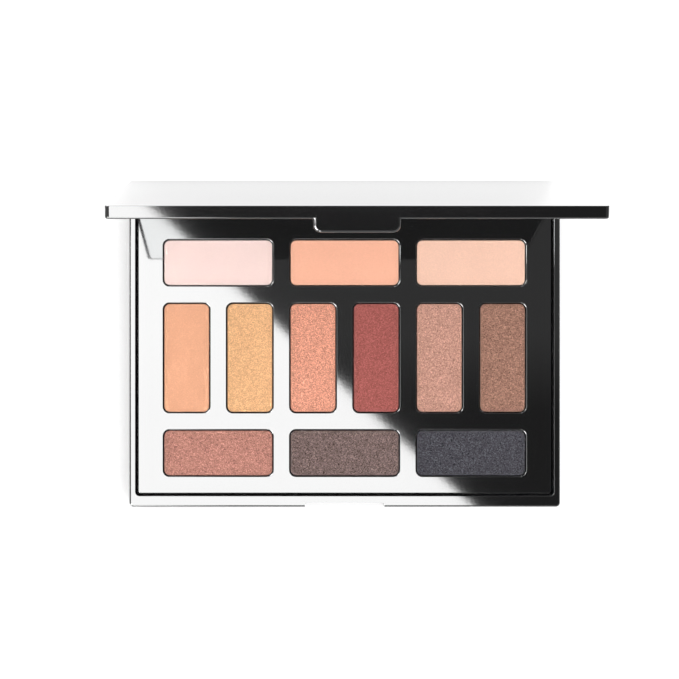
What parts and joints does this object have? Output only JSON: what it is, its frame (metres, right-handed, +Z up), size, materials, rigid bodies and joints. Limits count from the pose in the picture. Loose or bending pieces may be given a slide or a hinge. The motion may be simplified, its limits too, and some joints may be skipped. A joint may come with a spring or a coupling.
{
  "type": "eyeshadow palette",
  "caption": "Slim glossy black makeup palette with rectangular pressed-powder pans in a separate tray and a hinged mirror lid opened by a thumb tab.",
  "frame": {"origin": "centre of the flat underside of the base case", "axes": "+X to the right along the hinge line, +Y towards the hinge at the back, +Z up out of the tray; the thumb tab is at -Y"},
  "size_m": [0.13, 0.0988, 0.0981],
  "materials": {
    "case_black": "high-gloss injection-moulded black",
    "tray_black": "high-gloss injection-moulded black",
    "pan_metal": "drawn thin sheet, satin",
    "pan_pad": "double-sided adhesive pad",
    "mirror_glass": "silvered glass",
    "mirror_adhesive": "double-sided adhesive sheet",
    "pin_steel": "drawn steel wire, satin",
    "powder_back_1": "pressed powder, matte pink-ivory",
    "powder_back_2": "pressed powder, satin peach",
    "powder_back_3": "pressed powder, satin light peach",
    "powder_middle_1": "pressed powder, matte apricot",
    "powder_middle_2": "pressed powder, shimmer gold",
    "powder_middle_3": "pressed powder, shimmer coral",
    "powder_middle_4": "pressed powder, satin brick",
    "powder_middle_5": "pressed powder, shimmer rose-beige",
    "powder_middle_6": "pressed powder, shimmer brown",
    "powder_front_1": "pressed powder, shimmer rose",
    "powder_front_2": "pressed powder, shimmer taupe",
    "powder_front_3": "pressed powder, shimmer slate"
  },
  "bodies": {
    "base": {"base_case": "case_black", "shade_tray": "tray_black", "pad_back_1": "pan_pad", "pan_back_1": "pan_metal", "powder_back_1": "powder_back_1", "pad_back_2": "pan_pad", "pan_back_2": "pan_metal", "powder_back_2": "powder_back_2", "pad_back_3": "pan_pad", "pan_back_3": "pan_metal", "powder_back_3": "powder_back_3", "pad_middle_1": "pan_pad", "pan_middle_1": "pan_metal", "powder_middle_1": "powder_middle_1", "pad_middle_2": "pan_pad", "pan_middle_2": "pan_metal", "powder_middle_2": "powder_middle_2", "pad_middle_3": "pan_pad", "pan_middle_3": "pan_metal", "powder_middle_3": "powder_middle_3", "pad_middle_4": "pan_pad", "pan_middle_4": "pan_metal", "powder_middle_4": "powder_middle_4", "pad_middle_5": "pan_pad", "pan_middle_5": "pan_metal", "powder_middle_5": "powder_middle_5", "pad_middle_6": "pan_pad", "pan_middle_6": "pan_metal", "powder_middle_6": "powder_middle_6", "pad_front_1": "pan_pad", "pan_front_1": "pan_metal", "powder_front_1": "powder_front_1", "pad_front_2": "pan_pad", "pan_front_2": "pan_metal", "powder_front_2": "powder_front_2", "pad_front_3": "pan_pad", "pan_front_3": "pan_metal", "powder_front_3": "powder_front_3", "hinge_pin_left": "pin_steel", "hinge_pin_right": "pin_steel"},
    "lid": {"lid_case": "case_black", "mirror_adhesive": "mirror_adhesive", "lid_mirror": "mirror_glass"}
  },
  "joints": [
    {"name": "lid_hinge", "type": "hinge", "parent": "base", "child": "lid", "pos_m": [0, 0.0447, 0.0062], "axis": [-1, 0, 0], "range_deg": [-80.5, 39.5]}
  ]
}
